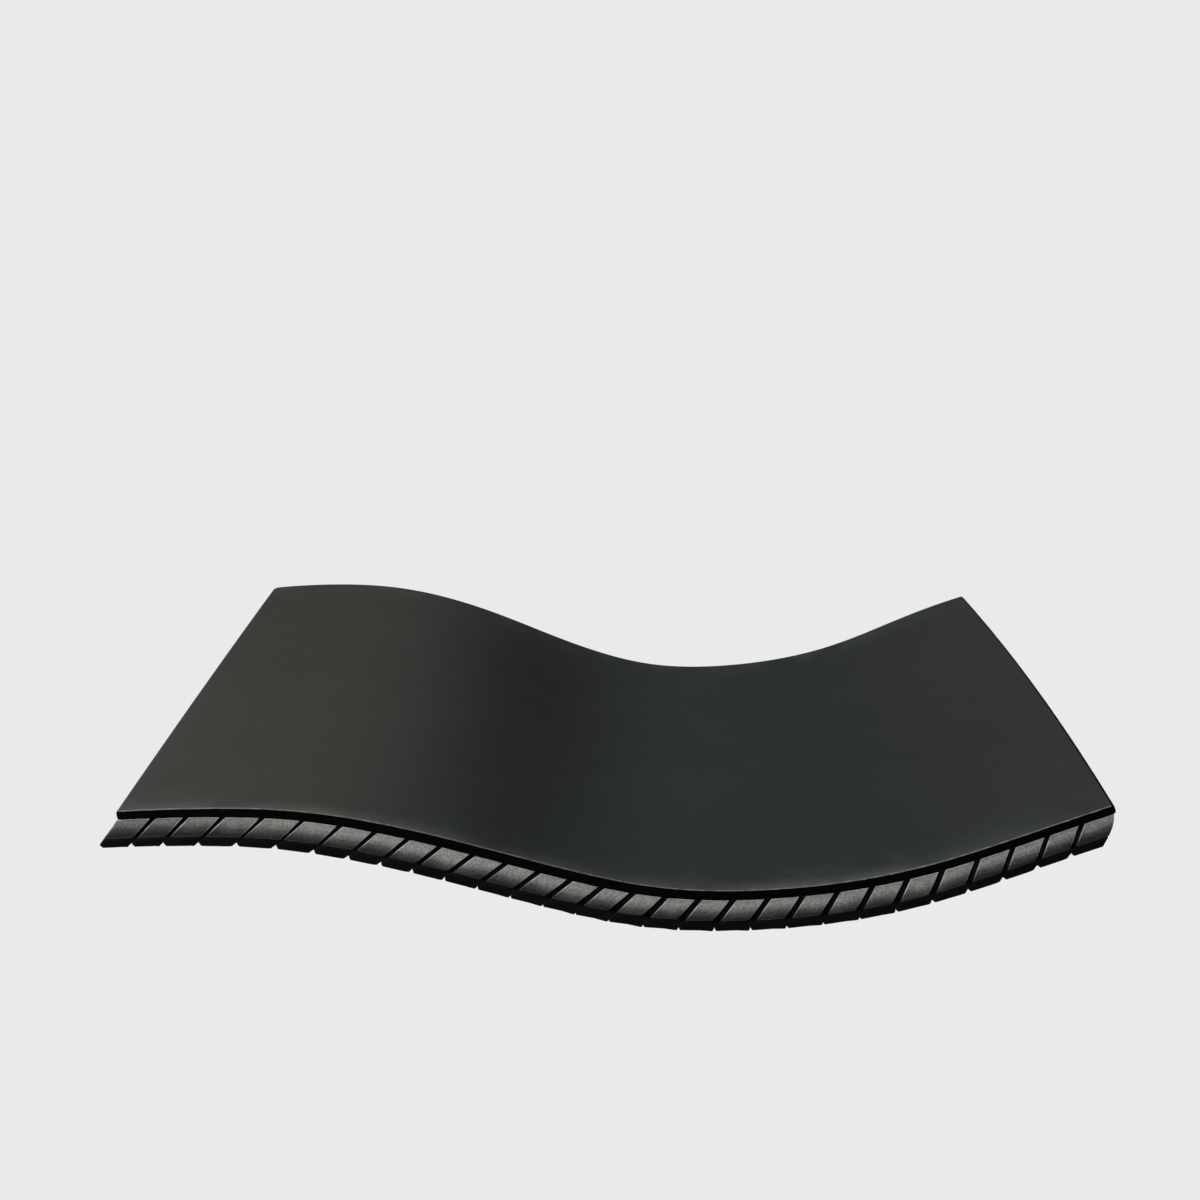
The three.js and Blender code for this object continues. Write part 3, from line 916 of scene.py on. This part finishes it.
def build_web(i):
    section = web_section(i)
    count = len(section)
    ends = HALF_DEPTH - SLAT_TOP_INSET + face_reach(SLAT_BOTTOM)
    stations = [-ends, *np.linspace(-CORE_HALF_DEPTH, CORE_HALF_DEPTH, 5), ends]
    points = []
    places = []
    for y in stations:
        for slat, t, n in section:
            down = (n - TREAD_TOP) / (TREAD_BOTTOM - TREAD_TOP)
            inside = ends - WEB_CLEARANCE - down * TREAD_EDGE_TUCK
            reach = np.clip(y, -inside, inside)
            points.append(board_point(MIDDLES[slat], t, n, reach))
            places.append((MIDDLES[slat] + t, reach, n))
    faces = ring_faces(len(stations), count) + cap_faces(count, (len(stations) - 1) * count)
    faces = [face[::-1] for face in faces]
    piece = make_piece(
        f"gap_shade_web_{i + 1:02d}", points, flat_to_metres(np.array(places)), faces, [TREAD_RUBBER],
        [0] * len(faces), sharp_deg=50)
    blend_web(piece, i)


# ---- camera ----

LENS = 39                                    # millimetres
CAMERA_PLACE = (0.0109, -1.0868, 0.5715)     # metres
CAMERA_DIP = 19.37                           # degrees below level
CAMERA_TURN = 1.0                            # degrees to the left of straight ahead


def make_camera():
    data = bpy.data.cameras.new("camera")
    data.lens = LENS
    data.sensor_width = 36
    camera = bpy.data.objects.new("camera", data)
    camera.location = CAMERA_PLACE
    camera.rotation_euler = (math.radians(90 - CAMERA_DIP), 0, math.radians(CAMERA_TURN))
    scene.collection.objects.link(camera)
    scene.camera = camera


# ---- studio ----

BACKGROUND = 0.823           # plain pale grey
STAGE_RADIUS = 9.0           # metres, like the rest of the studio
STAGE_HEIGHT = 9.0
STAGE_SIDES = 48
FLOOR_HEIGHT = -0.6          # room for the poses that bend the board downward


def backdrop_material():
    material = bpy.data.materials.new("backdrop")
    material.use_nodes = True
    tree = material.node_tree
    tree.nodes.clear()
    glow = tree.nodes.new("ShaderNodeEmission")
    glow.inputs["Color"].default_value = (BACKGROUND, BACKGROUND, BACKGROUND, 1)
    output = tree.nodes.new("ShaderNodeOutputMaterial")
    tree.links.new(glow.outputs["Emission"], output.inputs["Surface"])
    return material


def make_stage():
    """A pale floor below the board, and a pale surround."""
    material = backdrop_material()
    size = STAGE_RADIUS
    corners = ((-size, -size), (size, -size), (size, size), (-size, size))
    floor_mesh = bpy.data.meshes.new("floor")
    floor_mesh.from_pydata([(x, y, FLOOR_HEIGHT) for x, y in corners], [], [(0, 1, 2, 3)])
    turns = [2 * math.pi * k / STAGE_SIDES for k in range(STAGE_SIDES)]
    points = [
        (size * math.cos(turn), size * math.sin(turn), z)
        for z in (FLOOR_HEIGHT, STAGE_HEIGHT) for turn in turns]
    walls = []
    for k in range(STAGE_SIDES):
        beside = (k + 1) % STAGE_SIDES
        walls.append((k, k + STAGE_SIDES, beside + STAGE_SIDES, beside))
    walls.append(tuple(range(STAGE_SIDES, 2 * STAGE_SIDES)))
    surround_mesh = bpy.data.meshes.new("surround")
    surround_mesh.from_pydata(points, [], walls)
    for mesh in (floor_mesh, surround_mesh):
        mesh.materials.append(material)
        piece = bpy.data.objects.new(mesh.name, mesh)
        piece.visible_diffuse = False
        piece.visible_glossy = False
        piece.visible_transmission = False
        piece.visible_shadow = False
        scene.collection.objects.link(piece)


def make_world():
    """Soft light from all round, brighter from above."""
    world = bpy.data.worlds.new("studio")
    world.use_nodes = True
    scene.world = world
    tree = world.node_tree
    background = tree.nodes["Background"]
    place = tree.nodes.new("ShaderNodeTexCoord")
    split = tree.nodes.new("ShaderNodeSeparateXYZ")
    ramp = tree.nodes.new("ShaderNodeMapRange")
    ramp.inputs["From Min"].default_value = -0.3
    ramp.inputs["From Max"].default_value = 1.0
    ramp.inputs["To Min"].default_value = 0.06
    ramp.inputs["To Max"].default_value = 0.26
    tree.links.new(place.outputs["Generated"], split.inputs["Vector"])
    tree.links.new(split.outputs["Z"], ramp.inputs["Value"])
    tree.links.new(ramp.outputs["Result"], background.inputs["Strength"])
    background.inputs["Color"].default_value = (1, 1, 1, 1)


def add_light(name, location, target, size, power, color=(1, 1, 1)):
    data = bpy.data.lights.new(name, "AREA")
    data.shape = "RECTANGLE"
    data.size, data.size_y = size
    data.energy = power
    data.color = color
    light = bpy.data.objects.new(name, data)
    light.location = location
    aim = Vector(target) - Vector(location)
    light.rotation_euler = aim.to_track_quat("-Z", "Y").to_euler()
    scene.collection.objects.link(light)


def make_lights():
    add_light("key", (-1.5, -0.2, 0.9), (0.0, 0, 0.05), (0.8, 0.8), 20, (1, 1, 0.97))
    add_light("front", (-0.9, -2.4, 0.6), (0, 0, 0.05), (1.6, 0.8), 34)
    add_light("rear", (-1.7, 1.2, 0.8), (0, 0, 0.05), (1.0, 0.8), 6)
    add_light("right", (2.2, 0.3, 0.12), (0.38, 0, 0.08), (0.8, 0.4), 18)


make_camera()
build_deck()
build_core()
for index in range(SLAT_COUNT):
    build_slat(index)
    build_tread(index)
for index in range(SLAT_COUNT - 1):
    build_web(index)
make_stage()
make_world()
make_lights()

scene.view_settings.view_transform = "Standard"
scene.view_settings.look = "None"
